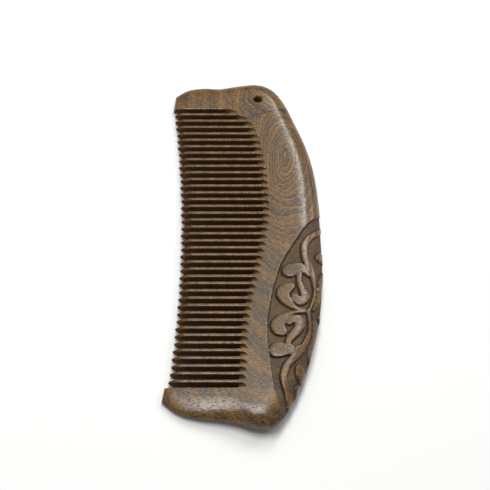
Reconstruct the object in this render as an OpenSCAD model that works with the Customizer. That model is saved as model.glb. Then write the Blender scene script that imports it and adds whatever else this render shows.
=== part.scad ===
// Wooden beard comb, millimetres, +Z up.
// It lies on its flat lower face at z = 0. +Y runs to the end with the cord hole,
// -X to the tooth tips and +X to the rounded, carved back.

/* [Overall] */
// Length from end to end
comb_length = 150; // [145:1:155]
// Width from the tooth tips to the back
comb_width = 56; // [54:0.5:58]
// Greatest thickness, reached in the back
comb_thickness = 13; // [12:0.5:14]
// Rise of the upper face for each millimetre towards the back
face_slope = 0.21; // [0.18:0.01:0.22]

/* [Edges] */
// How far the rounding of the outer edge reaches inwards where the comb is thickest
edge_run = 7; // [4:0.5:8]
// Thickness left at the very tip of a tooth
tip_thickness = 0.8; // [0.6:0.1:1.2]
// Growth of the tip's half thickness for each millimetre behind the tip
nose_slope = 0.7; // [0.5:0.05:1]

/* [Teeth] */
// Number of teeth between the two end guards
tooth_count = 39; // [34:1:42]
// Length of the row of teeth, from the first slot's middle to the last one's
row_length = 120; // [118:0.5:122]
// Share of the pitch that a slot takes
slot_share = 0.6; // [0.5:0.02:0.64]
// Width of a tooth at its very tip
tip_width = 0.5; // [0.4:0.1:0.8]
// Length of the tapered tip, seen from above
tip_taper = 2; // [1.5:0.1:3]
// Radius of the shallow hollow that the row of tips follows
tip_arc_radius = 520; // [450:10:800]

/* [Cord hole] */
// Diameter of the drilled cord hole
hole_d = 3; // [2:0.1:4]
// Place of the hole across the comb
hole_x = 4.1; // [2:0.1:6]
// Place of the hole along the comb
hole_y = 65.1; // [64.5:0.1:66]

/* [Hidden] */

// Where the rounding of the back begins and the full thickness is reached
full_x = comb_width / 2 - edge_run;
// The deepest place of the hollow row of tips
tip_apex = [-22.9 * comb_width / 56, -4];

// The outer edge seen from above, clockwise from the tip-side corner of the hole end,
// round the crown, down the back and round the lower end to its tip-side corner.
outline_shape = [
    [-26.3, 67.0], [-21.8, 70.6], [-16.0, 72.1], [-9.5, 72.3], [-2.0, 74.1], [5.0, 75.0],
    [10.6, 72.6], [15.0, 66.4], [18.8, 57.0], [23.0, 45.4], [25.8, 33.0], [27.3, 18.0],
    [27.9, 1.0], [28.0, -14.0], [26.6, -30.5], [23.6, -45.0], [20.6, -55.1], [15.8, -66.4],
    [11.1, -73.6], [5.0, -75.0], [-1.0, -73.7], [-7.0, -72.8], [-17.0, -72.3], [-23.0, -70.6],
    [-28.0, -66.9]
];
outline_points = [for (p = outline_shape) [p[0] * comb_width / 56, p[1] * comb_length / 150]];

// The line through the slots' ends: [distance along the comb, distance across it]
root_shape = [
    [61.0, -9.2], [56.2, -2.7], [52.0, 0.1], [44.0, 2.6], [30.0, 5.0], [14.0, 5.9], [0.0, 4.8],
    [-16.0, 1.9], [-32.0, -1.0], [-46.0, -2.1], [-62.0, -2.5]
];

// Places along the outline: the tip-side corners and the joints of the two end guards
upper_corner_u = 0;
upper_joint_u = 7.5;
lower_joint_u = 16.6;
lower_corner_u = len(outline_points) - 1;

// Where the tip-side edges of the end guards meet the walls of the outermost slots
upper_edge_x = -27.0 * comb_width / 56;
lower_edge_x = -27.3 * comb_width / 56;

row_middle = -0.8;
pitch = row_length / tooth_count;
slot_w = pitch * slot_share;
tooth_w = pitch - slot_w;
nose_half = tip_thickness / 2;

tooth_names = [for (i = [1 : tooth_count]) str("tooth_", i < 10 ? "0" : "", i)];

// One coordinate of a Catmull-Rom curve between the points b and c
function catmull(a, b, c, d, t) =
    0.5 * (2 * b + (c - a) * t + (2 * a - 5 * b + 4 * c - d) * t * t
    + (3 * b - a - 3 * c + d) * t * t * t);

// The point at place u (0 is the first point, 1 the second) on the curve through points
function curve_at(points, u) =
    let (last = len(points) - 1)
    let (i = min(max(floor(u), 0), last - 1))
    let (a = i > 0 ? points[i - 1] : 2 * points[0] - points[1])
    let (d = i + 2 <= last ? points[i + 2] : 2 * points[last] - points[last - 1])
    catmull(a, points[i], points[i + 1], d, u - i);

// The second coordinate of a curve at the place where its falling first coordinate is y
function across_at(points, y, low, high, steps = 24) =
    let (middle = (low + high) / 2)
    steps == 0 ? curve_at(points, middle)[1]
    : curve_at(points, middle)[0] > y ? across_at(points, y, middle, high, steps - 1)
    : across_at(points, y, low, middle, steps - 1);

function unit(v) = v / norm(v);
function upper_z(x) = comb_thickness - face_slope * (full_x - x);
function half_at(x, d) = min(upper_z(x) / 2, nose_half + nose_slope * d);
function tip_x(y) =
    tip_apex[0] - tip_arc_radius + sqrt(pow(tip_arc_radius, 2) - pow(y - tip_apex[1], 2));
function slot_y(i) = row_middle + row_length / 2 - (i - 1) * pitch;
function root_point(y) = [across_at(root_shape, y, 0, len(root_shape) - 1), y];

// The two corners at the end of slot i: side is 1 for the wall nearer to the hole end
function slot_corner(i, side) = root_point(slot_y(i) + side * slot_w / 2);

// The inner ends of the joints between the back and the two guards
upper_joint = slot_corner(2, -1);
lower_joint = slot_corner(tooth_count + 1, -1);

// An upright section from the outer point p to the inner point q: a rounded outer edge and
// flat faces. d is its distance behind the tip-side edge, where the comb is thinner.
edge_steps = 8;
far_behind = 99;
function section(p, q, d = far_behind) =
    let (inward = unit(q - p))
    let (run = edge_run * sqrt(half_at(p[0], d) * 2 / comb_thickness))
    concat(
        [for (k = [0 : edge_steps])
            let (a = -90 + 180 * k / edge_steps)
            let (at = p + inward * run * (1 - cos(a)))
            [at[0], at[1], upper_z(at[0]) / 2 + half_at(at[0], d) * sin(a)]],
        [[q[0], q[1], upper_z(q[0]) / 2 + half_at(q[0], d)],
         [q[0], q[1], upper_z(q[0]) / 2 - half_at(q[0], d)]]
    );

// A closed solid carried through a row of sections that all have the same number of points
module loft(sections) {
    n = len(sections[0]);
    rows = len(sections);
    sides = [for (r = [0 : rows - 2], k = [0 : n - 1])
        each [[r * n + k, r * n + (k + 1) % n, (r + 1) * n + (k + 1) % n],
              [r * n + k, (r + 1) * n + (k + 1) % n, (r + 1) * n + k]]];
    polyhedron(
        points = [for (s = sections) each s],
        faces = concat(
            [[for (k = [n - 1 : -1 : 0]) k]],
            sides,
            [[for (k = [0 : n - 1]) (rows - 1) * n + k]]
        )
    );
}

// The sections of an end guard, from its tip-side edge to its joint with the back. Its inner
// side follows the wall of the outermost slot and then the points in inner, whose last
// point is the inner end of the joint.
nose_stations = [0, 0.4, 0.9, 1.5, 2.1, 2.8];
nose_length = nose_stations[len(nose_stations) - 1];
wall_steps = 10;
fan_steps = 4;
function guard_sections(corner_u, joint_u, edge_x, inner) =
    let (turn = sign(joint_u - corner_u))
    let (nose_u = corner_u + turn * 0.55)
    let (wall_u = corner_u + turn * 4.2)
    let (wall_y = inner[0][1])
    let (fans = len(inner) - 1)
    concat(
        [for (d = nose_stations)
            section(curve_at(outline_points, corner_u + (nose_u - corner_u) * d / nose_length),
                    [edge_x + d, wall_y], d)],
        [for (k = [1 : wall_steps])
            let (f = k / wall_steps)
            section(curve_at(outline_points, nose_u + (wall_u - nose_u) * f),
                    [(edge_x + nose_length) * (1 - f) + inner[0][0] * f, wall_y])],
        [for (k = [0 : fans - 1], j = [1 : fan_steps])
            let (f = j / fan_steps)
            section(curve_at(outline_points,
                             wall_u + (joint_u - wall_u) * (k + f) / fans),
                    inner[k] * (1 - f) + inner[k + 1] * f)]
    );

module upper_end_guard() {
    sections = guard_sections(upper_corner_u, upper_joint_u, upper_edge_x,
        [slot_corner(1, 1), slot_corner(1, -1), slot_corner(2, 1), upper_joint]);
    color("#7a5c3e")
    difference() {
        loft(sections);
        translate([hole_x, hole_y, -1]) cylinder(d = hole_d, h = comb_thickness + 2, $fn = 48);
    }
}

module lower_end_guard() {
    sections = guard_sections(lower_corner_u, lower_joint_u, lower_edge_x,
        [lower_joint, lower_joint, lower_joint, lower_joint]);
    color("#6f5034")
    loft([for (k = [len(sections) - 1 : -1 : 0]) sections[k]]);
}

module back() {
    inner = concat(
        [upper_joint],
        [for (i = [3 : tooth_count + 1], side = [1, -1]) slot_corner(i, side)]
    );
    joint_span = upper_joint[1] - lower_joint[1];
    color("#835a38")
    loft([for (q = inner)
        let (f = (upper_joint[1] - q[1]) / joint_span)
        section(curve_at(outline_points, upper_joint_u + (lower_joint_u - upper_joint_u) * f), q)]);
}

// Tooth i seen from above: a pointed tip, a straight bar and a root that meets the back
function tooth_plan(i) =
    let (y = (slot_y(i) + slot_y(i + 1)) / 2)
    let (tip = tip_x(y))
    let (half = [for (side = [-1, 1])
        [[tip, y + side * tip_width / 2],
         [tip + tip_taper * 0.35, y + side * (tip_width + tooth_w) / 4],
         [tip + tip_taper, y + side * tooth_w / 2]]])
    concat(
        half[1],
        [slot_corner(i, -1), slot_corner(i + 1, 1)],
        [for (k = [2 : -1 : 0]) half[0][k]]
    );

// Side view of a tooth whose tip is at x = tip: a wedge with a pointed nose
function tooth_side(tip, root) =
    let (middle = upper_z(tip) / 2)
    let (nose = (middle - nose_half) / (nose_slope - face_slope / 2))
    [[tip, middle - nose_half], [tip, middle + nose_half], [tip + nose, upper_z(tip + nose)],
     [root, upper_z(root)], [root, 0], [tip + nose, 0]];

module tooth(i) {
    y = (slot_y(i) + slot_y(i + 1)) / 2;
    root = max(slot_corner(i, -1)[0], slot_corner(i + 1, 1)[0]) + 1;
    color(i % 2 == 0 ? "#8a6a4c" : "#80603f")
    intersection() {
        linear_extrude(height = comb_thickness) polygon(tooth_plan(i));
        translate([0, y + pitch, 0]) rotate([90, 0, 0])
            linear_extrude(height = 2 * pitch) polygon(tooth_side(tip_x(y), root));
    }
}

upper_end_guard();
back();
lower_end_guard();
for (i = [1 : tooth_count]) {
    tooth(i);
}
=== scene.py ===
"""A carved wooden beard comb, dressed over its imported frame.

The comb is cut from verawood: a long back that carries the slots' ends and the carved
scrolls, an end guard at each end, and a row of sawn teeth. The form repeats the sizes and
the section rule of the comb's own solids, in millimetres, and every surface is worked out
as whole arrays from it. The last step turns millimetres into metres.
"""

import logging
import math
from collections.abc import Callable
from dataclasses import dataclass
from enum import Enum
from functools import partial
from typing import Any

import bpy
import numpy as np
from mathutils import Matrix, Vector
from numpy.typing import NDArray


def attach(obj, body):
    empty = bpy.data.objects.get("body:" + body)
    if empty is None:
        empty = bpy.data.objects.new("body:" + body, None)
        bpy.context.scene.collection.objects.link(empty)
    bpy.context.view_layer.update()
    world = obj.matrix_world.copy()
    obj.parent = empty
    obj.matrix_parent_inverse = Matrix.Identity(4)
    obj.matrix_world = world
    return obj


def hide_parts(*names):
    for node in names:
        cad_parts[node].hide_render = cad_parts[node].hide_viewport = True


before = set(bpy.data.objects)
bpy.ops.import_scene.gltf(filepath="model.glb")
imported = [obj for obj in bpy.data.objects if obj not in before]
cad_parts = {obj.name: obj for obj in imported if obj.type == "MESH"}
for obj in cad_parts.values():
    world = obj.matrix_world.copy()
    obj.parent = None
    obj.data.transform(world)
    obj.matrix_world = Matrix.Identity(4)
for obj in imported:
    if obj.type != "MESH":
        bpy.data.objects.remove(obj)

Array = NDArray[np.float64]
Points = tuple[tuple[float, ...], ...]
Pair = tuple[float, float]
Triple = tuple[float, float, float]
Piece = bpy.types.Object
Finish = bpy.types.Material
MM = 0.001
BODY = "root"
SEAM_ROWS = 3  # sections over which the dark glue line fades out on either side
EDGE_MIN = 0.03  # mm, the edge radius where wood runs on into the next piece
log = logging.getLogger("beard_comb")


class Face(Enum):
    """The two broad faces of the comb, each with its sign along the face normal."""

    UPPER = 1.0
    LOWER = -1.0


class End(Enum):
    """The two ends of the comb, each with the turn of the outline away from its corner."""

    HOLE = 1.0
    PLAIN = -1.0


def curve(points: Points, places: Array) -> Array:
    """A Catmull-Rom curve through points, whose ends are continued by mirrored points.

    Args:
        points: The points that the curve passes, with any number of coordinates.
        places: Places on the curve, 0 at the first point and 1 at the second.

    Returns:
        One row of coordinates for each place.
    """
    given = np.array(points, float)
    ends = np.vstack([2 * given[0] - given[1], given, 2 * given[-1] - given[-2]])
    first = np.clip(np.floor(places).astype(int), 0, len(given) - 2)
    t = (np.asarray(places) - first)[..., None]
    a, b, c, d = (ends[first + k] for k in range(4))
    return 0.5 * (
        2 * b + (c - a) * t + (2 * a - 5 * b + 4 * c - d) * t**2 + (3 * b - a - 3 * c + d) * t**3
    )


def smooth(value: Array, low: float, high: float) -> Array:
    """A soft step: 0 up to low, 1 from high on, and 3t^2 - 2t^3 between.

    Args:
        value: Where the step is read.
        low: The end of the flat 0.
        high: The start of the flat 1.

    Returns:
        The step's height at each value.
    """
    t = np.clip((value - low) / (high - low), 0, 1)
    return t * t * (3 - 2 * t)


def ring_sides(rows: int, ring: int) -> Array:
    """The quads between neighbouring rings of points.

    Args:
        rows: The number of rings.
        ring: The number of points in each.

    Returns:
        One row of four corner numbers for each quad.
    """
    row, step = np.meshgrid(np.arange(rows - 1), np.arange(ring), indexing="ij")
    here, there = row * ring, (row + 1) * ring
    after = (step + 1) % ring
    return np.stack([here + step, here + after, there + after, there + step], -1).reshape(-1, 4)


def tube_faces(rows: int, ring: int) -> list[Array]:
    """The faces of a tube of rings: its sides, and one disc over each end."""
    disc = np.arange(ring)[None, :]
    return [ring_sides(rows, ring), disc[:, ::-1], disc + (rows - 1) * ring]


@dataclass(frozen=True)
class CombForm:
    """The comb's sizes in millimetres, and the places that follow from them.

    The comb lies on its flat lower face at z = 0. The upper face rises with face_slope
    towards the back at +X, and the teeth point to -X.
    """

    thickness: float = 13.0
    face_slope: float = 0.21
    full_x: float = 21.0
    edge_run: float = 7.0
    tooth_count: int = 39
    row_length: float = 120.0
    row_middle: float = -0.8
    slot_share: float = 0.6
    tip_apex: Pair = (-22.9, -4.0)
    tip_arc_radius: float = 520.0
    upper_joint_u: float = 7.5
    lower_joint_u: float = 16.6
    outline_points: Points = (
        (-26.3, 67), (-21.8, 70.6), (-16, 72.1), (-9.5, 72.3), (-2, 74.1), (5, 75), (10.6, 72.6),
        (15, 66.4), (18.8, 57), (23, 45.4), (25.8, 33), (27.3, 18), (27.9, 1), (28, -14),
        (26.6, -30.5), (23.6, -45), (20.6, -55.1), (15.8, -66.4), (11.1, -73.6), (5, -75),
        (-1, -73.7), (-7, -72.8), (-17, -72.3), (-23, -70.6), (-28, -66.9),
    )
    root_points: Points = (
        (61, -9.2), (56.2, -2.7), (52, 0.1), (44, 2.6), (30, 5), (14, 5.9), (0, 4.8), (-16, 1.9),
        (-32, -1), (-46, -2.1), (-62, -2.5),
    )

    @property
    def pitch(self) -> float:
        """The distance from one slot to the next."""
        return self.row_length / self.tooth_count

    @property
    def slot_half(self) -> float:
        """Half the width of a slot."""
        return self.pitch * self.slot_share / 2

    @property
    def tooth_width(self) -> float:
        """The full width of a tooth."""
        return self.pitch * (1 - self.slot_share)

    def outline(self, places: Array) -> Array:
        """The points of the outer edge, seen from above, at places along it."""
        return curve(self.outline_points, places)

    def outline_travel(self, places: Array) -> Array:
        """The distance along the outer edge from its first point to each place."""
        fine = np.linspace(0, len(self.outline_points) - 1, 6001)
        steps = np.linalg.norm(np.diff(self.outline(fine), axis=0), axis=1)
        return np.interp(places, fine, np.concatenate([[0.0], np.cumsum(steps)]))

    def upper_z(self, x: Array) -> Array:
        """The height of the upper face above x."""
        return self.thickness - self.face_slope * (self.full_x - x)

    def tip_x(self, y: Array) -> Array:
        """The place of the tooth tips, on a shallow arc along the comb."""
        radius = self.tip_arc_radius
        return self.tip_apex[0] - radius + np.sqrt(radius**2 - (y - self.tip_apex[1]) ** 2)

    def slot_y(self, number: Array) -> Array:
        """The middle of a slot, the first being nearest to the hole end."""
        return self.row_middle + self.row_length / 2 - (number - 1) * self.pitch

    def root_x(self, y: Array) -> Array:
        """The line through the slots' through-ends, read across the comb at y."""
        line = curve(self.root_points, np.linspace(0, len(self.root_points) - 1, 4001))
        return np.interp(-np.asarray(y), -line[:, 0], line[:, 1])

    def slot_corner(self, number: int, side: float) -> Array:
        """The corner at the end of a slot, side 1 being the wall nearer to the hole end."""
        y = self.slot_y(number) + side * self.slot_half
        return np.array([float(self.root_x(y)), y])


@dataclass(frozen=True)
class SawRamp:
    """The short ramp that a round saw leaves in both faces behind each slot's end.

    Fall is the power of the depth's curve, narrowest the least share of the slot's width,
    lean how far the ramp swings to one side, and relax the way back as a share of length.
    """

    form: CombForm
    length: float = 2.1
    depth: float = 1.3
    fall: float = 0.8
    narrowest: float = 0.42
    lean: float = 0.6
    relax: float = 1.6

    def half_and_middle(self, u: Array) -> tuple[Array, Array]:
        """The ramp's plan: its half width and the shift of its middle towards -Y.

        The half width falls as the square root of 1 - u^2, down to narrowest, and the middle
        shifts by lean times the half width that is lost. Behind the ramp both return softly
        to the slot's own width, for the grid lines.

        Args:
            u: Distance behind the slot's end as a share of the ramp's length.

        Returns:
            The half width and the shift, in millimetres.
        """
        share = np.maximum(np.sqrt(np.clip(1 - u**2, 0, 1)), self.narrowest)
        back = smooth(u, 1.0, 1.0 + self.relax)
        share = share + (1 - share) * back
        return self.form.slot_half * share, self.form.slot_half * (1 - share) * self.lean

    def nearest_slot(self, y: Array) -> Array:
        """The middle of the slot nearest to y."""
        form = self.form
        number = np.round((form.slot_y(1) - y) / form.pitch) + 1
        return form.slot_y(np.clip(number, 1, form.tooth_count + 1))

    def cut(self, x: Array, y: Array) -> tuple[Array, Array]:
        """How deep the ramps are below the face, and how dull and dark they look.

        Depth is depth * (1 - u)^fall between the two edges of the plan, and 0 outside. The
        mask paints shade on the wall on the hole end's side and on the deepest part, and leaves
        the floor light.

        Args:
            x: Places across the comb.
            y: Places along it.

        Returns:
            The depth in millimetres, and the mask for the sawn finish.
        """
        u = (x - self.form.root_x(y)) / self.length
        half, shift = self.half_and_middle(u)
        across = (y - self.nearest_slot(y) + shift) / half
        inside = (np.abs(across) < 1) & (u < 1)
        depth = np.where(inside, self.depth * np.clip(1 - u, 0, 1) ** self.fall, 0.0)
        # painted shade: the hole end's wall and the deepest part are darkened, the floor is not
        dark = np.maximum(smooth(across, 0.0, 0.5), 1 - smooth(u, 0.05, 0.3))
        return depth, np.where(inside, dark, 0.0)


@dataclass(frozen=True)
class Stroke:
    """One raised scroll of the carving, as a centre line with a width that changes.

    Each point of the line is (along, inward, half width) in millimetres: along runs with the
    back's edge and is 0 where the scrolls spring, inward is measured over the surface from
    the middle of the edge.
    """

    layer: int
    line: Points

    def edge_distance(self, along: Array, inward: Array) -> tuple[Array, Array]:
        """The distance of each place from the stroke's edge, negative inside it.

        It is the least value of (distance to a point of the line - half width there).

        Args:
            along: Places along the back's edge.
            inward: Places over the surface from the middle of the edge.

        Returns:
            The signed distance, and the half width at the nearest point of the line.
        """
        line = curve(self.line, np.linspace(0, len(self.line) - 1, 10 * len(self.line)))
        gap = np.hypot(along[..., None] - line[:, 0], inward[..., None] - line[:, 1])
        gap -= line[:, 2]
        nearest = gap.argmin(axis=-1)
        least = np.take_along_axis(gap, nearest[..., None], axis=-1)[..., 0]
        return least, line[nearest, 2]


@dataclass(frozen=True)
class CarvedField:
    """The half-oval of scrolls that is cut into the back's rounded edge.

    The ground is sunk to one depth inside the border. The scrolls stand in three layers, a
    later one lying over an earlier one, and each is domed and cut round with a narrow line.
    Crown and shoulder are the depths at a scroll's middle and, in addition, at its edge;
    overlap is the most that a scroll may lie below what it covers.
    """

    spring_travel: float = 146.6
    ground: float = 0.85
    wall: float = 0.45
    crown: float = 0.08
    shoulder: float = 0.35
    cut_depth: float = 0.3
    cut_width: float = 0.24
    overlap: float = 0.2
    edge_share: float = 0.3
    edge_reach: float = 4.5
    border: Points = (
        (47, -6), (45.5, 0), (43.8, 4.5), (39.2, 10.8), (33.1, 14.6), (27.8, 17.6), (21.5, 20.5),
        (14.7, 22), (7.2, 22.9), (0, 22.9), (-7, 22.4), (-15.3, 20.3), (-21.8, 17.5), (-27.4, 14.8),
        (-34.4, 10.8), (-39, 7.9), (-42.8, 4.4), (-44, 0), (-45, -6),
    )
    strokes: tuple[Stroke, ...] = (
        Stroke(0, ((10.7, 17.1, 2.1), (9.3, 18.5, 2.6), (6.8, 18.9, 2.3), (4.5, 17.8, 2),
            (2.5, 16.1, 1.4), (1, 14.1, 0.9), (0.2, 12.1, 0.65), (0, 10, 0.6))),
        Stroke(0, ((-0.2, 10, 0.6), (-0.7, 12.7, 0.65), (-1.4, 15, 0.9), (-3, 16.8, 1.6),
            (-4.9, 18.1, 2.3), (-7, 18.7, 2.45), (-9.1, 17.8, 2.4), (-10.1, 16.4, 1.7))),
        Stroke(0, ((1.3, 7.5, 0.5), (4.8, 6, 1.1), (9.5, 4.8, 1.6), (14.9, 3.6, 1.9),
            (19, 1.5, 1.2))),
        Stroke(0, ((-1.1, 7.1, 0.6), (-3.2, 5, 1), (-5.8, 3.4, 1.5), (-10, 2.6, 1.8),
            (-15.3, 2.8, 1.6), (-18.5, 1.6, 0.8))),
        Stroke(0, ((24.8, 6, 1.5), (25.6, 3.8, 2.1), (26, 0, 2.4))),
        Stroke(0, ((-22.6, 7.1, 1.1), (-24.2, 5.2, 2), (-25.5, 3, 2.2), (-26.3, 0.4, 1.5))),
        Stroke(0, ((-29.4, 3.8, 0.9), (-30.3, 2.2, 1.6), (-31.5, 0.6, 1.6), (-32.8, -1, 0.8))),
        Stroke(0, ((0.2, 3.2, 0.6), (0.2, 1.2, 1.6), (0.2, 0, 1.7))),
        Stroke(1, ((18.6, 16.9, 3.2), (19.2, 15.3, 2.9), (19.3, 13.8, 2.1), (18.3, 12.2, 1.3),
            (16.2, 10.2, 0.9))),
        Stroke(1, ((-17.2, 16.4, 2.8), (-17.3, 15, 2.6), (-17.5, 13.6, 1.8), (-17.4, 12, 1.35),
            (-16.4, 10.1, 1.2), (-14.7, 8.4, 1))),
        Stroke(1, ((40, -2, 1.2), (38.2, 1.9, 1.2), (36, 5.6, 1.2), (34.1, 8.6, 1.3),
            (32.2, 10.4, 1.4), (29.9, 11.7, 1.4), (26.9, 12, 1.3), (23.7, 11.7, 1.3),
            (20.5, 10.6, 1.4), (17.2, 9.2, 1.4), (14.1, 8.1, 1.15), (11.3, 7.6, 0.8),
            (8.3, 7.5, 0.65), (5.1, 7.9, 0.65), (2.3, 8.6, 0.6), (-0.1, 9.2, 0.6), (-2.5, 8.4, 0.6),
            (-5.1, 7.4, 0.75), (-7.9, 6.9, 0.9), (-11.4, 7.1, 1.1), (-14.7, 7.7, 1.4),
            (-17.6, 8.9, 1.55), (-20.3, 10.4, 1.6), (-22.6, 11.4, 1.5), (-25, 11.3, 1.4),
            (-27.6, 10.7, 1.15), (-30.5, 9, 1), (-33.2, 6.9, 1.1), (-35.3, 4.7, 1.4),
            (-37, 2.6, 1.4), (-38.5, 0, 1.1))),
        Stroke(2, ((16.6, 13.8, 1.05), (13.5, 13.8, 0.95), (10.5, 12.9, 1.15), (7.6, 11.5, 1.6),
            (5.5, 11.3, 1.8), (4.2, 12.6, 1.9), (5, 14.1, 1.7), (6.4, 14.9, 1.3))),
        Stroke(2, ((-16.3, 11.3, 0.95), (-15.2, 13.1, 1), (-13.4, 13.5, 1.2), (-11.5, 13, 1.6),
            (-8.9, 11.8, 1.85), (-6.6, 11.2, 1.95), (-4.6, 11.7, 1.9), (-3.8, 13.2, 1.8),
            (-4.3, 14.5, 1.55), (-5.6, 15, 1.2))),
    )

    def border_distance(self, along: Array, inward: Array) -> Array:
        """The distance inside the border, negative outside it.

        The border is read as the greatest inward place at each place along the edge, and
        the gap to it is turned into a distance by the border's own slope.
        """
        line = curve(self.border, np.linspace(0, len(self.border) - 1, 400))
        limit = np.interp(-along, -line[:, 0], line[:, 1], left=-9, right=-9)
        slope = np.gradient(line[:, 1], line[:, 0])
        tilt = np.interp(-along, -line[:, 0], slope, left=4, right=4)
        return (limit - inward) / np.sqrt(1 + np.clip(tilt, -4, 4) ** 2)

    def relief(self, along: Array, inward: Array) -> tuple[Array, dict[str, Array]]:
        """The depth of the carving below the face, and the masks for its finish.

        Inside a stroke the depth is crown + shoulder * (1 - dome), with dome the root of
        1 - (share of the half width)^6. Outside it the ground's depth grows by a narrow
        cut that dies away with the distance, and tool marks ripple the ground. Towards the
        middle of the edge everything gets shallower, so that the comb's outline stays whole.

        Args:
            along: Places along the back's edge, 0 where the scrolls spring.
            inward: Places over the surface from the middle of the edge.

        Returns:
            Depth in millimetres, and masks for the tooled ground, the painted shade along the cut
            lines and the raised work.
        """
        inside = self.border_distance(along, inward)
        marks = 0.05 * np.sin(along * 6.4 + 1.3 * np.sin(inward * 0.9))
        marks += 0.03 * np.sin(along * 3.1 + inward * 2.3) * np.sin(inward * 4.1 - along)
        depth = (self.ground + marks) * smooth(inside, -0.05, self.wall)
        tooled = smooth(inside, 0.0, self.wall)
        # painted shade along the foot of the border's wall, fading out towards negative along
        cut = np.exp(-(((inside - 0.3) / 0.22) ** 2)) * smooth(along, -20.0, 5.0)
        raised = np.zeros(along.shape)
        near = inside > -1.0
        for layer in (0, 1, 2):
            gap, half = np.full(along.shape, 9.0), np.ones(along.shape)
            for stroke in (s for s in self.strokes if s.layer == layer):
                edge, width = stroke.edge_distance(along[near], inward[near])
                closer = edge < gap[near]
                gap[near] = np.where(closer, edge, gap[near])
                half[near] = np.where(closer, width, half[near])
            share = np.clip(1 + gap / half, 0, 1)
            dome = np.sqrt(1 - share**6)
            body = self.crown + self.shoulder * (1 - dome)
            line = np.exp(-np.clip(gap, 0, 9) / self.cut_width)
            around = np.maximum(depth, self.ground * tooled + self.cut_depth * line * tooled)
            depth = np.where(gap < 0, np.minimum(body, depth + self.overlap), around)
            raised = np.maximum(raised, smooth(-gap, 0.0, 0.3) * smooth(inside, 0.0, 0.4))
            tooled = np.where(gap < 0, 0.0, tooled)
            # painted shade: a narrow dark line round the foot of each stroke
            narrow = np.exp(-(((gap - 0.1) / 0.24) ** 2)) * smooth(inside, 0.1, 0.5)
            cut = np.where(gap < -0.1, narrow, np.maximum(cut, narrow))
        depth *= self.edge_share + (1 - self.edge_share) * smooth(inward, 0.0, self.edge_reach)
        return depth, {"tooled": tooled, "cut_line": cut, "raised": raised}


@dataclass
class Sections:
    """A row of upright sections through the comb, from the outer edge to an inner line.

    Outer and inner are points seen from above, and travel is the distance along the outer
    edge. Each section has its share of the full height, the radius of its inner edges, and
    the strength of the glue line, from 0 to 1.
    """

    outer: Array
    inner: Array
    travel: Array
    height_share: Array
    edge_radius: Array
    seam: Array


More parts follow.
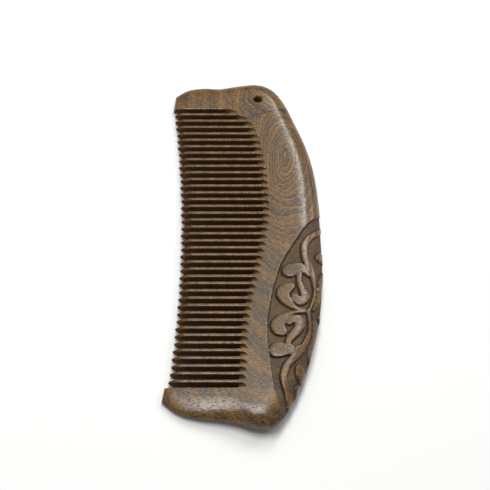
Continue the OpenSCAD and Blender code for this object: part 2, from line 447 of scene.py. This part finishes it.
@dataclass(frozen=True)
class ShellSurface:
    """Carries a row of sections into one closed, carved shell.

    A section has flat faces and a rounded outer edge. On the rounding the angle phi goes
    from 90 degrees at the face to 0 at the middle of the edge; the place is
    outer + inward * run * (1 - cos phi), and the height is half the comb's thickness there
    times (1 +- sin phi). The run is edge_run times the root of the thickness share. A slight
    crown leads into the rounding: it drops as the square of the distance over crown_reach.
    """

    form: CombForm
    ramp: SawRamp
    carving: CarvedField
    samples: int = 104
    corner_steps: int = 3
    wall_steps: int = 3
    crown_reach: float = 3.2
    crown_drop: float = 0.2

    def build(self, name: str, sections: Sections, follow_slots: bool) -> Piece:
        """Works out the shell and makes it an object.

        Args:
            name: The new object's name.
            sections: The sections, in order along the comb.
            follow_slots: Whether the grid lines near the inner side follow the saw ramps.

        Returns:
            The closed shell, with its masks as point attributes.
        """
        form = self.form
        span = sections.inner - sections.outer
        reach = np.linalg.norm(span, axis=1)
        inward = (span / reach[:, None])[:, None, :]
        half = form.upper_z(sections.outer[:, 0]) / 2 * sections.height_share
        run = form.edge_run * np.sqrt(half * 2 / form.thickness)
        bend = ((run + half) / 2)[:, None]
        quarter = bend * math.pi / 2
        total = quarter + (reach - run)[:, None]
        radius = sections.edge_radius[:, None]
        turn = np.linspace(0, math.pi / 2, self.corner_steps + 1)
        even = np.linspace(0, 1, self.samples - self.corner_steps)[1:]
        from_inner = np.hstack([radius * (1 - np.cos(turn)), radius + (total - radius) * even])
        inward_place = total - from_inner
        phi = np.clip(inward_place / bend, 0, math.pi / 2)
        plan = np.where(
            inward_place < quarter, run[:, None] * (1 - np.cos(phi)),
            run[:, None] + inward_place - quarter,
        )
        place = sections.outer[:, None, :] + inward * plan[..., None]
        along = self.carving.spring_travel - sections.travel[:, None] + 0 * plan
        if follow_slots:
            moved = self.follow_ramps(place, sections)
            along = along + moved - place[..., 1]
            place[..., 1] = moved
        x, y = place[..., 0], place[..., 1]
        ramp, sawn = self.ramp.cut(x, y)
        carved, shade = self.carving.relief(along, inward_place)
        # the dark glue line shares one mask with the painted shade of the cut lines
        shade["cut_line"] = np.maximum(shade["cut_line"], sections.seam[:, None])
        shade["sawn"] = sawn
        depth = np.maximum(ramp, carved)
        worn = np.where(from_inner < radius, radius - from_inner, 0.0)
        drop = radius - np.sqrt(radius**2 - worn**2)
        middle = form.upper_z(x) / 2
        soft = np.clip((quarter + self.crown_reach - inward_place) / self.crown_reach, 0, None)
        crown = self.crown_drop * np.where(soft < 1, soft**2, 2 * soft - 1) * np.sin(phi)
        crown *= sections.height_share[:, None] ** 2
        rise = middle * sections.height_share[:, None] * np.sin(phi) - drop - crown
        sink = np.sin(phi) * depth
        draw = (np.cos(phi) * depth)[..., None] * inward
        faces = [
            np.dstack([place + draw, middle + face.value * (rise - sink)]) for face in Face
        ]
        lift = np.linspace(0, 1, self.wall_steps + 1)[1:-1][None, :, None]
        low, high = faces[1][:, :1], faces[0][:, :1]
        wall = low + (high - low) * lift
        ring = np.concatenate([faces[0], faces[1][:, -2::-1], wall], axis=1)
        masks = {}
        for key, mask in shade.items():
            # the inner walls at the slots' ends get the full sawn mask, which dulls them and paints
            # shade on them
            inner = np.ones((len(mask), wall.shape[1])) * (1.0 if key == "sawn" else 0.0)
            masks[key] = np.concatenate([mask, mask[:, -2::-1], inner], axis=1).ravel()
        return make_object(name, ring.reshape(-1, 3), self.ring_faces(*ring.shape[:2]), masks)

    def follow_ramps(self, place: Array, sections: Sections) -> Array:
        """Bends the grid lines near the inner side so that they run with the ramps' edges.

        A line that starts inside a slot keeps its share of the ramp's half width; one that
        starts beside it keeps its share of the land up to half a pitch. Further in, the
        lines swing back to their sections.

        Args:
            place: The sections' places, seen from above.
            sections: The sections, whose inner points lie on the line of the slots' ends.

        Returns:
            The new Y of each place.
        """
        form, ramp = self.form, self.ramp
        start = sections.inner[:, 1:2]
        middle = ramp.nearest_slot(start)
        off = start - middle
        u = (place[..., 0] - sections.inner[:, :1]) / ramp.length
        half, shift = ramp.half_and_middle(u)
        side = np.sign(off)
        edge = side * half - shift
        land = (np.abs(off) - form.slot_half) / (form.pitch / 2 - form.slot_half)
        beside = edge + (side * form.pitch / 2 - edge) * land
        bent = middle + np.where(land < 0, off * half / form.slot_half - shift, beside)
        ends = np.minimum(start[0] - start, start - start[-1])
        weight = (1 - smooth(u, 1.0, 1.0 + ramp.relax)) * smooth(ends, 0.0, form.tooth_width * 0.9)
        return place[..., 1] + (bent - place[..., 1]) * weight

    def ring_faces(self, rows: int, ring: int) -> list[Array]:
        """The quads between neighbouring rings, and a ladder of faces over each end.

        Args:
            rows: The number of sections.
            ring: The number of points in each.

        Returns:
            Arrays of corner numbers, one for each kind of face.
        """
        upper = np.arange(self.samples - 1)
        lower = 2 * self.samples - 2 - upper
        rungs = np.stack([upper, lower, lower - 1, upper + 1], -1)[:-1]
        nose = np.array([[self.samples - 2, self.samples, self.samples - 1]])
        inner = np.concatenate([[0], np.arange(2 * self.samples - 2, ring)[::-1]])[None, :]
        last = (rows - 1) * ring
        caps = [rungs, nose, inner]
        return [ring_sides(rows, ring), *caps, *[c[:, ::-1] + last for c in caps]]


def show(name: str, data: bpy.types.ID) -> Piece:
    """Makes an object of a mesh, light or camera and links it to the scene."""
    thing = bpy.data.objects.new(name, data)
    bpy.context.scene.collection.objects.link(thing)
    return thing


def make_object(
    name: str, points: Array, faces: list[Array], masks: dict[str, Array]
) -> Piece:
    """Puts points in millimetres into a mesh in metres, with its faces turned outwards.

    The sign of the enclosed volume, the sum of triple products over the faces' fans, says
    whether all faces have to be turned round.

    Args:
        name: The name of the object and its mesh.
        points: One row for each vertex, in millimetres.
        faces: Arrays of corner numbers, each of one face size.
        masks: Point attributes by name.

    Returns:
        The new object, linked to the scene.
    """
    volume = 0.0
    for group in faces:
        for k in range(1, group.shape[1] - 1):
            a, b, c = (points[group[:, j]] for j in (0, k, k + 1))
            volume += float(np.einsum("ij,ij->i", a, np.cross(b, c)).sum())
    turned = [g[:, ::-1] if volume < 0 else g for g in faces]
    mesh = bpy.data.meshes.new(name)
    corners = np.concatenate([g.ravel() for g in turned]).astype(np.int32)
    sizes = np.concatenate([np.full(len(g), g.shape[1]) for g in turned])
    starts = np.concatenate([[0], np.cumsum(sizes)[:-1]]).astype(np.int32)
    mesh.vertices.add(len(points))
    mesh.vertices.foreach_set("co", (points * MM).astype(np.float32).ravel())
    mesh.loops.add(len(corners))
    mesh.loops.foreach_set("vertex_index", corners)
    mesh.polygons.add(len(sizes))
    mesh.polygons.foreach_set("loop_start", starts)
    mesh.update(calc_edges=True)
    mesh.validate()
    for key, mask in masks.items():
        layer = mesh.attributes.new(key, "FLOAT", "POINT")
        layer.data.foreach_set("value", mask.astype(np.float32))
    mesh.shade_smooth()
    mesh.set_sharp_from_angle(angle=math.radians(48))
    return show(name, mesh)


def adopt(piece: Piece, node: str, slot: str, *finishes: Finish) -> None:
    """Makes a piece stand for a node of the frame, and gives it its finish.

    Args:
        piece: The finished piece.
        node: The node that it replaces.
        slot: The record's material slot; not used.
        finishes: Materials for the piece's slots, in order.
    """
    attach(piece, BODY)
    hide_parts(node)
    piece.data.materials.clear()
    for finish in finishes:
        piece.data.materials.append(finish)
    log.info("%s stands for %s: %d faces", piece.name, node, len(piece.data.polygons))


def linear(code: str) -> tuple[float, float, float, float]:
    """The linear RGBA value of an sRGB hex colour such as '#7a5c3e'."""
    parts = [int(code[k : k + 2], 16) / 255 for k in (1, 3, 5)]
    red, green, blue = (
        p / 12.92 if p <= 0.04045 else ((p + 0.055) / 1.055) ** 2.4 for p in parts
    )
    return red, green, blue, 1.0


def add_node(
    tree: bpy.types.NodeTree,
    kind: str,
    settings: dict[str, Any] | None = None,
    inputs: dict[Any, Any] | None = None,
) -> bpy.types.Node:
    """Adds a node, sets its settings, and links or sets its inputs.

    Args:
        tree: The tree that gets the node.
        kind: The node's type, without the ShaderNode in front.
        settings: Properties of the node by name.
        inputs: Sockets to link from, or values, by the input's name or number.

    Returns:
        The new node.
    """
    node = tree.nodes.new("ShaderNode" + kind)
    for key, value in (settings or {}).items():
        setattr(node, key, value)
    for key, value in (inputs or {}).items():
        if isinstance(value, bpy.types.NodeSocket):
            tree.links.new(value, node.inputs[key])
        else:
            node.inputs[key].default_value = value
    return node


def new_finish(name: str) -> tuple[Finish, Callable[..., bpy.types.Node]]:
    """An empty material, and add_node bound to its tree."""
    finish = bpy.data.materials.new(name)
    finish.use_nodes = True
    finish.node_tree.nodes.clear()
    return finish, partial(add_node, finish.node_tree)


@dataclass(frozen=True)
class OiledVerawood:
    """Verawood, planed, sanded, oiled and buffed.

    It gives the eye an olive brown with grey and orange flames, dark growth lines about
    1.2 mm apart across the comb and wider along it, short open pores along the teeth, and a
    soft satin gloss. Sawn walls are dull and darkened with painted shade, cut lines carry
    painted shade, the glue line is dark, and tooled ground is grey and matt.
    Lengths are in millimetres: the growth rings run round ring_centre, and sway moves them.
    """

    name: str = "verawood_oiled_and_buffed"
    brown: str = "#5f4824"
    grey: str = "#423726"
    orange: str = "#90662b"
    dark: str = "#23180c"
    pore: str = "#20150b"
    ground: str = "#4d4239"
    raised: str = "#6a4316"
    # the dull sawn walls' colour, also used as painted shade in the slots, the ramps and at the tooth
    # noses
    sawn: str = "#4a2c0e"
    # near black: painted shade in the carving's cut lines, and the real dark glue line
    cut: str = "#140b05"
    ring_centre: Triple = (15.0, 36.0, 4.0)
    ring_stretch: Triple = (1.0, 0.42, 0.5)
    sway: Triple = (9.0, 16.0, 9.0)
    tilt: float = 0.0
    slant: float = 0.95
    roughness: float = 0.29
    dull_roughness: float = 0.62
    pore_stretch: Triple = (0.6, 3.0, 3.0)
    pore_depth: float = 0.06
    streak_stretch: Triple = (0.05, 0.5, 0.5)

    def build(self) -> Finish:
        """Makes the material from nodes on Object coordinates and the piece's masks."""
        finish, node = new_finish(self.name)
        multiply = {"operation": "MULTIPLY"}
        place = node("TexCoord").outputs["Object"]
        turned = node(
            "Mapping", None,
            {"Vector": place, "Scale": (1 / MM,) * 3, "Rotation": (0, 0, self.tilt)},
        ).outputs[0]
        drift = node(
            "TexNoise", None, {"Vector": turned, "Scale": 0.055, "Detail": 2.0, "Roughness": 0.5}
        ).outputs["Color"]
        shift = node(
            "VectorMath", {"operation": "MULTIPLY_ADD"}, {0: drift, 1: self.sway, 2: turned}
        ).outputs[0]
        centre = tuple(c + s / 2 for c, s in zip(self.ring_centre, self.sway))
        rings_at = node("VectorMath", {"operation": "SUBTRACT"}, {0: shift, 1: centre}).outputs[0]
        stretched = node("VectorMath", multiply, {0: rings_at, 1: self.ring_stretch}).outputs[0]
        rings, broad = (
            node(
                "TexWave", {"wave_type": "RINGS", "rings_direction": "Z", "wave_profile": profile},
                {"Vector": stretched, "Scale": scale, "Distortion": distortion,
                 "Detail": detail, "Detail Scale": detail_scale},
            ).outputs["Fac"]
            for profile, scale, distortion, detail, detail_scale in (
                ("SAW", 0.26, 2.6, 3.0, 1.1), ("SIN", 0.062, 2.5, 2.0, 0.6),
            )
        )
        slanted = node("Mapping", None, {"Vector": shift, "Rotation": (0, 0, self.slant)}).outputs[0]
        pores_at = node("VectorMath", multiply, {0: turned, 1: self.pore_stretch}).outputs[0]
        streaks_at = node("VectorMath", multiply, {0: slanted, 1: self.streak_stretch}).outputs[0]
        patch, pores, streaks = (
            node(
                "TexNoise", None,
                {"Vector": at, "Scale": scale, "Detail": detail, "Roughness": rough},
            ).outputs["Fac"]
            for at, scale, detail, rough in (
                (turned, 0.11, 3.0, 0.6), (pores_at, 1.0, 2.0, 0.55), (streaks_at, 1.0, 3.0, 0.6),
            )
        )
        away = node("VectorMath", {"operation": "LENGTH"}, {0: stretched}).outputs["Value"]
        fading = node(
            "MapRange", None,
            {"Value": away, "From Min": 5.0, "From Max": 22.0, "To Min": 1.0, "To Max": 0.35},
        ).outputs[0]
        layers = []
        for pattern, low, high, most, tint in (
            (patch, 0.38, 0.62, 1.0, self.grey),
            (broad, 0.4, 1.0, 0.4, self.orange),
            (streaks, 0.48, 0.68, 0.5, self.dark),
            (rings, 0.3, 0.0, fading, self.orange),
            (rings, 0.55, 0.9, fading, self.dark),
            (pores, 0.47, 0.36, 0.5, self.orange),
            (pores, 0.52, 0.62, 0.85, self.pore),
        ):
            span = {"Value": pattern, "From Min": low, "From Max": high, "To Max": most}
            layers.append((node("MapRange", None, span).outputs[0], tint))
        pore_share = layers[-1][0]
        masks = {
            key: node("Attribute", {"attribute_name": key}).outputs["Fac"]
            for key in ("raised", "tooled", "sawn", "cut_line")
        }
        # the sawn mask and the cut-line mask darken the colour with painted shade; the cut-line mask
        # also carries the dark glue line
        for key, tint, most in (
            ("raised", self.raised, 0.25), ("tooled", self.ground, 0.65),
            ("sawn", self.sawn, 0.85), ("cut_line", self.cut, 0.85),
        ):
            layers.append((node("Math", multiply, {0: masks[key], 1: most}).outputs[0], tint))
        colour: Any = linear(self.brown)
        for share, tint in layers:
            colour = node(
                "Mix", {"data_type": "RGBA"}, {0: share, 6: colour, 7: linear(tint)}
            ).outputs[2]
        dull = node("Math", {"operation": "MAXIMUM"}, {0: masks["tooled"], 1: masks["sawn"]}).outputs[0]
        rough, gloss = (
            node("MapRange", None, {"Value": dull, "To Min": plain, "To Max": dulled}).outputs[0]
            for plain, dulled in ((self.roughness, self.dull_roughness), (0.5, 0.2))
        )
        worn = node("Math", {"operation": "MULTIPLY_ADD"}, {0: pore_share, 1: 0.2, 2: rough}).outputs[0]
        bump = node(
            "Bump", {"invert": True},
            {"Height": pores, "Strength": 0.25, "Distance": self.pore_depth * MM},
        ).outputs[0]
        shader = node(
            "BsdfPrincipled", None,
            {"Base Color": colour, "Roughness": worn, "Normal": bump, "IOR": 1.5,
             "Specular IOR Level": gloss},
        )
        node("OutputMaterial", None, {"Surface": shader.outputs[0]})
        return finish


@dataclass(frozen=True)
class PaintedBoard:
    """A board painted with matt white emulsion, rolled on: a pale and even floor."""

    name: str = "matt_white_emulsion_rolled"
    colour: str = "#e4e4e2"
    roughness: float = 0.85

    def build(self) -> Finish:
        """Makes the floor's material, with a faint roller mottle."""
        finish, node = new_finish(self.name)
        place = node("TexCoord").outputs["Object"]
        mottle = node("TexNoise", None, {"Vector": place, "Scale": 220.0, "Detail": 2.0}).outputs["Fac"]
        bump = node("Bump", None, {"Height": mottle, "Strength": 0.05, "Distance": 0.0002}).outputs[0]
        shader = node(
            "BsdfPrincipled", None,
            {"Base Color": linear(self.colour), "Roughness": self.roughness, "Normal": bump},
        )
        node("OutputMaterial", None, {"Surface": shader.outputs[0]})
        return finish


@dataclass(frozen=True)
class CarvedBack:
    """The long back: slots' ends on its inner side, carved scrolls on its rounded edge."""

    form: CombForm
    surface: ShellSurface
    edge_radius: float = EDGE_MIN
    near_wall: float = 0.03
    land_steps: int = 5
    slot_steps: int = 7
    seam: float = 1.0

    def build(self, finish: Finish) -> None:
        """Builds the back between its two joints and dresses it."""
        form = self.form
        land, slot = form.tooth_width, 2 * form.slot_half
        offsets = np.concatenate([
            np.linspace(self.near_wall, land - self.near_wall, self.land_steps),
            land + np.linspace(self.near_wall, slot - self.near_wall, self.slot_steps),
        ])
        top = form.slot_corner(2, -1)[1]
        low = form.slot_corner(form.tooth_count + 1, -1)[1]
        starts = top - form.pitch * np.arange(form.tooth_count - 1)
        y = np.concatenate([[top], (starts[:, None] - offsets).ravel(), [low]])
        share = (top - y) / (top - low)
        places = form.upper_joint_u + (form.lower_joint_u - form.upper_joint_u) * share
        sections = Sections(
            outer=form.outline(places),
            inner=np.stack([form.root_x(y), y], -1),
            travel=form.outline_travel(places),
            height_share=np.ones(len(y)),
            edge_radius=np.full(len(y), self.edge_radius),
            seam=self.seam * np.maximum(1 - np.arange(len(y)) / SEAM_ROWS, 0),
        )
        piece = self.surface.build("carved_back", sections, follow_slots=True)
        adopt(piece, "back", "back_wood", finish)


@dataclass(frozen=True)
class CordHole:
    """The drilled hole for a hanging cord, with a small countersink in both faces."""

    form: CombForm
    x: float = 4.1
    y: float = 65.1
    radius: float = 1.5
    flare: float = 0.4
    around: int = 64

    def cutter(self) -> Piece:
        """A closed turned pin: rings of one radius that flare where they pass a face.

        A ring's place is (x + r cos a, y + r sin a); the rings above the middle rise with
        the slope of the upper face, so that the countersink is even all round.
        """
        top = float(self.form.upper_z(np.array(self.x)))
        beyond = self.flare + 1.0
        heights = np.array([-1.0, 0.0, self.flare, top - self.flare, top, top + 1.0])
        radii = self.radius + np.array([beyond, self.flare, 0.0, 0.0, self.flare, beyond])
        slope = np.array([0, 0, 0, 1, 1, 1]) * self.form.face_slope
        angle = np.linspace(0, 2 * math.pi, self.around, endpoint=False)
        x = radii[:, None] * np.cos(angle)
        y = radii[:, None] * np.sin(angle)
        z = heights[:, None] + slope[:, None] * x
        points = np.stack([self.x + x, self.y + y, z], -1).reshape(-1, 3)
        faces = tube_faces(len(radii), self.around)
        pin = make_object("hole_pin", points, faces, {"sawn": np.ones(len(points))})
        pin.data.polygons.foreach_set("material_index", [1] * len(pin.data.polygons))
        return pin

    def drill(self, piece: Piece) -> None:
        """Takes the pin out of a piece and leaves the piece's own mesh changed."""
        pin = self.cutter()
        for thing in (piece, pin):
            for name in ("face", "bore"):
                thing.data.materials.append(bpy.data.materials.new(name))
        bore = piece.modifiers.new("bore", "BOOLEAN")
        bore.operation = "DIFFERENCE"
        bore.solver = "EXACT"
        bore.object = pin
        drilled = bpy.data.meshes.new_from_object(
            piece.evaluated_get(bpy.context.evaluated_depsgraph_get())
        )
        piece.modifiers.clear()
        old = piece.data
        piece.data = drilled
        drilled.name = piece.name
        bpy.data.meshes.remove(old)
        bpy.data.objects.remove(pin)
        piece.data.set_sharp_from_angle(angle=math.radians(40))


@dataclass(frozen=True)
class EndGuard:
    """A broad guard at one end of the comb, from its thin tip-side edge to the back."""

    form: CombForm
    surface: ShellSurface
    end: End
    edge_x: float
    nose_length: float
    nose_steps: int = 12
    body_steps: int = 150
    edge_radius: float = 0.4
    seam: float = 0.0
    first_angle: float = 7.0
    land_reach: float = 1.5
    wall_u: float = 4.2
    wall_share: float = 0.4
    fan: float = 2.6

    def build(self, finish: Finish, bore: Finish) -> None:
        """Builds the guard, drills it if it is the hole end's, and dresses it."""
        form = self.form
        hole_end = self.end is End.HOLE
        last = len(form.outline_points) - 1
        corner_u = 0.0 if hole_end else float(last)
        joint_u = form.upper_joint_u if hole_end else form.lower_joint_u
        nose_u = corner_u + self.end.value * 0.2 * self.nose_length
        inner, places = self.inner_line(nose_u, joint_u)
        angle = np.radians(
            np.linspace(self.first_angle, 90, self.nose_steps, endpoint=False)
        )
        behind = self.nose_length * (1 - np.cos(angle))
        nose_inner = np.stack(
            [self.edge_x + behind, np.full(self.nose_steps, inner[0, 1])], -1
        )
        nose_places = corner_u + (nose_u - corner_u) * behind / self.nose_length
        places = np.concatenate([nose_places, places])
        share = np.concatenate([np.sin(angle), np.ones(len(inner))])
        inner = np.vstack([nose_inner, inner])
        away = np.concatenate([np.zeros(self.nose_steps), self.to_land(inner[self.nose_steps :])])
        radius = self.edge_radius * np.minimum(1, 0.25 + share) * share
        radius = EDGE_MIN + (radius - EDGE_MIN) * (1 - smooth(away, 0.0, 1.0))
        order = slice(None) if hole_end else slice(None, None, -1)
        sections = Sections(
            outer=form.outline(places)[order],
            inner=inner[order],
            travel=form.outline_travel(places)[order],
            height_share=share[order],
            edge_radius=radius[order],
            seam=self.seam * np.maximum(1 - np.arange(len(places))[::-1] / SEAM_ROWS, 0),
        )
        name = "hole_end_guard" if hole_end else "plain_end_guard"
        piece = self.surface.build(name, sections, follow_slots=False)
        if hole_end:
            CordHole(form).drill(piece)
            adopt(piece, "upper_end_guard", "guard_wood", finish, bore)
        else:
            adopt(piece, "lower_end_guard", "guard_wood", finish)

    def to_land(self, inner: Array) -> Array:
        """How near each inner point is to the slots' ends, 0 along the free wall."""
        number, side = (1, 1) if self.end is End.HOLE else (self.form.tooth_count + 1, -1)
        slot_end = self.form.slot_corner(number, side)[0]
        return smooth(inner[:, 0], slot_end - self.land_reach, slot_end)

    def inner_line(self, nose_u: float, joint_u: float) -> tuple[Array, Array]:
        """The sections' inner points and their places on the outline.

        The inner points run along the outermost slot's wall. At the hole end they go on
        round the ends of slots 1 and 2; at the plain end they slow down towards the joint
        as 1 - (1 - f)^fan, so that the sections fan out from it.

        Args:
            nose_u: The outline's place where the thin edge ends.
            joint_u: The outline's place at the joint with the back.

        Returns:
            Inner points, and places on the outline.
        """
        form = self.form
        f = np.linspace(0, 1, self.body_steps)
        start_x = self.edge_x + self.nose_length
        if self.end is End.PLAIN:
            corner = form.slot_corner(form.tooth_count + 1, -1)
            x = start_x + (corner[0] - start_x) * (1 - (1 - f) ** self.fan)
            return np.stack([x, np.full(len(f), corner[1])], -1), nose_u + (joint_u - nose_u) * f
        corners = [form.slot_corner(number, side) for number in (1, 2) for side in (1, -1)]
        stops = np.concatenate([[0.0], np.linspace(self.wall_share, 1, len(corners))])
        path = np.vstack([[start_x, corners[0][1]], *corners])
        inner = np.stack([np.interp(f, stops, path[:, k]) for k in (0, 1)], -1)
        places = np.interp(f, [0, self.wall_share, 1], [nose_u, self.wall_u, joint_u])
        return inner, places


@dataclass(frozen=True)
class ToothRow:
    """The row of sawn teeth, each a wedge with a pointed nose and rounded edges."""

    form: CombForm
    stations: int = 30
    corner_steps: int = 3
    corner_radius: float = 0.3
    taper: float = 1.7
    tip_half: float = 0.42
    nose_slope: float = 0.62
    sink: float = 0.02
    closing: Pair = (0.5, 0.85)
    blend: float = 0.05
    # from where to where behind the tip the painted shade on the nose fades out, in mm
    tip_shade_reach: Pair = (1.2, 2.4)
    uneven_place: float = 0.03
    uneven_length: float = 0.12

    def build(self, finish: Finish) -> None:
        """Builds every tooth and dresses it."""
        for number in range(1, self.form.tooth_count + 1):
            adopt(self.tooth(number), f"tooth_{number:02d}", "tooth_wood", finish)

    def tooth(self, number: int) -> Piece:
        """Carries a rounded rectangle from the tip to the root of one tooth.

        At the distance d behind the tip the width is tooth_width * (0.5 + 0.5 sin(pi d / 3.4))
        up to the full width at 1.7 mm, and the half height is a soft minimum of
        tip_half + nose_slope * d and half the comb's thickness, rounded by blend. The two
        rings at the tip close by the shares in closing. Small differences from tooth to
        tooth come from sines of the tooth's number.

        Args:
            number: The tooth's number, from the hole end.

        Returns:
            The tooth, with its side walls marked as sawn and painted with shade, and its nose painted
            dark with shade.
        """
        form = self.form
        high = form.slot_corner(number, -1)
        low = form.slot_corner(number + 1, 1)
        y = (high[1] + low[1]) / 2 + self.uneven_place * math.sin(number * 2.7)
        tip = float(form.tip_x(np.array(y))) + self.uneven_length * math.sin(number * 1.9)
        share = np.linspace(0, 1, self.stations) ** 1.9
        length = (high[0] + low[0]) / 2 - tip
        behind = share * length
        swell = np.sin(math.pi / 2 * np.clip(behind / self.taper, 0, 1))
        width = form.tooth_width * (0.5 + 0.5 * swell)
        middle = form.upper_z(tip + behind) / 2
        wedge = self.tip_half + self.nose_slope * behind
        half = 0.5 * (wedge + middle - np.sqrt((wedge - middle) ** 2 + self.blend))
        width[:2] *= self.closing
        half[:2] *= self.closing
        radius = np.minimum(self.corner_radius, 0.45 * np.minimum(width, 2 * half))
        radius *= 1 - 0.8 * smooth(share, 0.93, 1.0)
        turn = np.linspace(0, math.pi / 2, self.corner_steps + 1)
        across, up, side = [], [], []
        for sy, sz in ((1, 1), (-1, 1), (-1, -1), (1, -1)):
            angles = turn if sy == sz else turn[::-1]
            across.append(sy * (width[:, None] / 2 - radius[:, None] * (1 - np.cos(angles))))
            up.append(sz * (half[:, None] - radius[:, None] * (1 - np.sin(angles))))
            side.append(np.cos(angles) + 0 * radius[:, None])
        across, up, side = (np.hstack(part) for part in (across, up, side))
        end = high[0] + (low[0] - high[0]) * (0.5 - across / form.tooth_width) + self.sink
        x = tip + (end - tip) * share[:, None]
        z = form.upper_z(x) / 2 + up
        z += (form.upper_z(x) / 2 - middle[:, None]) * np.sign(up)
        points = np.stack([x, y + across, np.maximum(z, 0.0)], -1)
        faces = tube_faces(*points.shape[:2])
        # painted shade: the side walls in the slots and the nose behind the tip are darkened with the
        # sawn mask
        sawn = np.maximum(side, 1 - smooth(behind, *self.tip_shade_reach)[:, None])
        return make_object(
            f"tooth_bar_{number:02d}", points.reshape(-1, 3), faces, {"sawn": sawn.ravel()}
        )


@dataclass(frozen=True)
class Softbox:
    """A soft rectangular studio light, aimed at the comb."""

    name: str
    place: Triple
    size: Pair
    power: float
    aim: Triple = (0.0, 0.0, 0.005)

    def build(self) -> None:
        """Adds the light to the scene."""
        lamp = bpy.data.lights.new(self.name, "AREA")
        lamp.shape = "RECTANGLE"
        lamp.size, lamp.size_y = self.size
        lamp.energy = self.power
        light = show(self.name, lamp)
        light.location = self.place
        way = Vector(self.aim) - Vector(self.place)
        light.rotation_euler = way.to_track_quat("-Z", "Y").to_euler()


@dataclass(frozen=True)
class Studio:
    """The pale floor, the soft lights and the camera.

    The camera looks square across the tilted upper face: its right-hand direction runs up
    the face's slope, and it stands at elevation above that face.
    """

    form: CombForm
    elevation: float = 55.0
    distance: float = 0.605
    target: Triple = (-0.00033, -0.00162, 0.0065)
    lens: float = 123.4
    sensor: float = 36.0
    floor_size: float = 6.0
    floor_gap: float = 0.0001
    world_strength: float = 0.28
    lights: tuple[Softbox, ...] = (
        Softbox("softbox_overhead", (-0.14, 0.0, 0.72), (0.5, 0.14), 3.9),
        Softbox("softbox_behind", (-0.12, 0.56, 0.72), (0.9, 0.5), 0.7),
        Softbox("strip_behind", (0.10, 0.54, 0.66), (0.05, 0.4), 2.5),
        Softbox("strip_right", (0.50, 0.42, 0.50), (0.12, 0.3), 1.2),
    )

    def build(self) -> None:
        """Adds floor, lights, world and camera."""
        self.add_floor()
        for light in self.lights:
            light.build()
        world = bpy.data.worlds.new("studio_air")
        world.use_nodes = True
        back = world.node_tree.nodes["Background"]
        back.inputs["Color"].default_value = linear("#fbfcff")
        back.inputs["Strength"].default_value = self.world_strength
        bpy.context.scene.world = world
        bpy.context.scene.view_settings.view_transform = "Standard"
        self.add_camera()

    def add_floor(self) -> None:
        """A flat square floor just under the comb."""
        side = self.floor_size / 2
        mesh = bpy.data.meshes.new("studio_floor")
        corners = [(x * side, y * side, -self.floor_gap)
                   for x, y in ((-1, -1), (1, -1), (1, 1), (-1, 1))]
        mesh.from_pydata(corners, [], [(0, 1, 2, 3)])
        mesh.materials.append(PaintedBoard().build())
        show("studio_floor", mesh)

    def add_camera(self) -> None:
        """The camera, placed from its elevation above the upper face."""
        tilt = math.atan(self.form.face_slope)
        rise = math.radians(self.elevation)
        right = Vector((math.cos(tilt), 0.0, math.sin(tilt)))
        normal = Vector((-math.sin(tilt), 0.0, math.cos(tilt)))
        away = Vector((0.0, -1.0, 0.0)) * math.cos(rise) + normal * math.sin(rise)
        up = away.cross(right)
        turn = Matrix((right, up, away)).transposed().to_4x4()
        lens = bpy.data.cameras.new("studio_camera")
        lens.lens = self.lens
        lens.sensor_width = self.sensor
        lens.clip_start = 0.01
        camera = show("studio_camera", lens)
        camera.matrix_world = Matrix.Translation(
            Vector(self.target) + away * self.distance
        ) @ turn
        bpy.context.scene.camera = camera


def main() -> None:
    """Builds the comb and its studio."""
    logging.basicConfig(level=logging.INFO, format="%(name)s: %(message)s")
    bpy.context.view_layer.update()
    form = CombForm()
    surface = ShellSurface(form, SawRamp(form), CarvedField())
    wood = OiledVerawood().build()
    guard_wood = OiledVerawood(
        name="verawood_guard_oiled_and_buffed", brown="#684c2b", ring_centre=(-6.0, 92.0, 4.0),
        tilt=0.25, slant=0.5,
    ).build()
    bore_wood = OiledVerawood(name="verawood_drilled", brown="#8a6a40", roughness=0.6).build()
    CarvedBack(form, surface).build(wood)
    EndGuard(form, surface, End.HOLE, edge_x=-27.0, nose_length=1.6, seam=1.0).build(
        guard_wood, bore_wood
    )
    EndGuard(form, surface, End.PLAIN, edge_x=-27.3, nose_length=3.0).build(wood, bore_wood)
    ToothRow(form).build(wood)
    Studio(form).build()


if __name__ == "__main__":
    main()
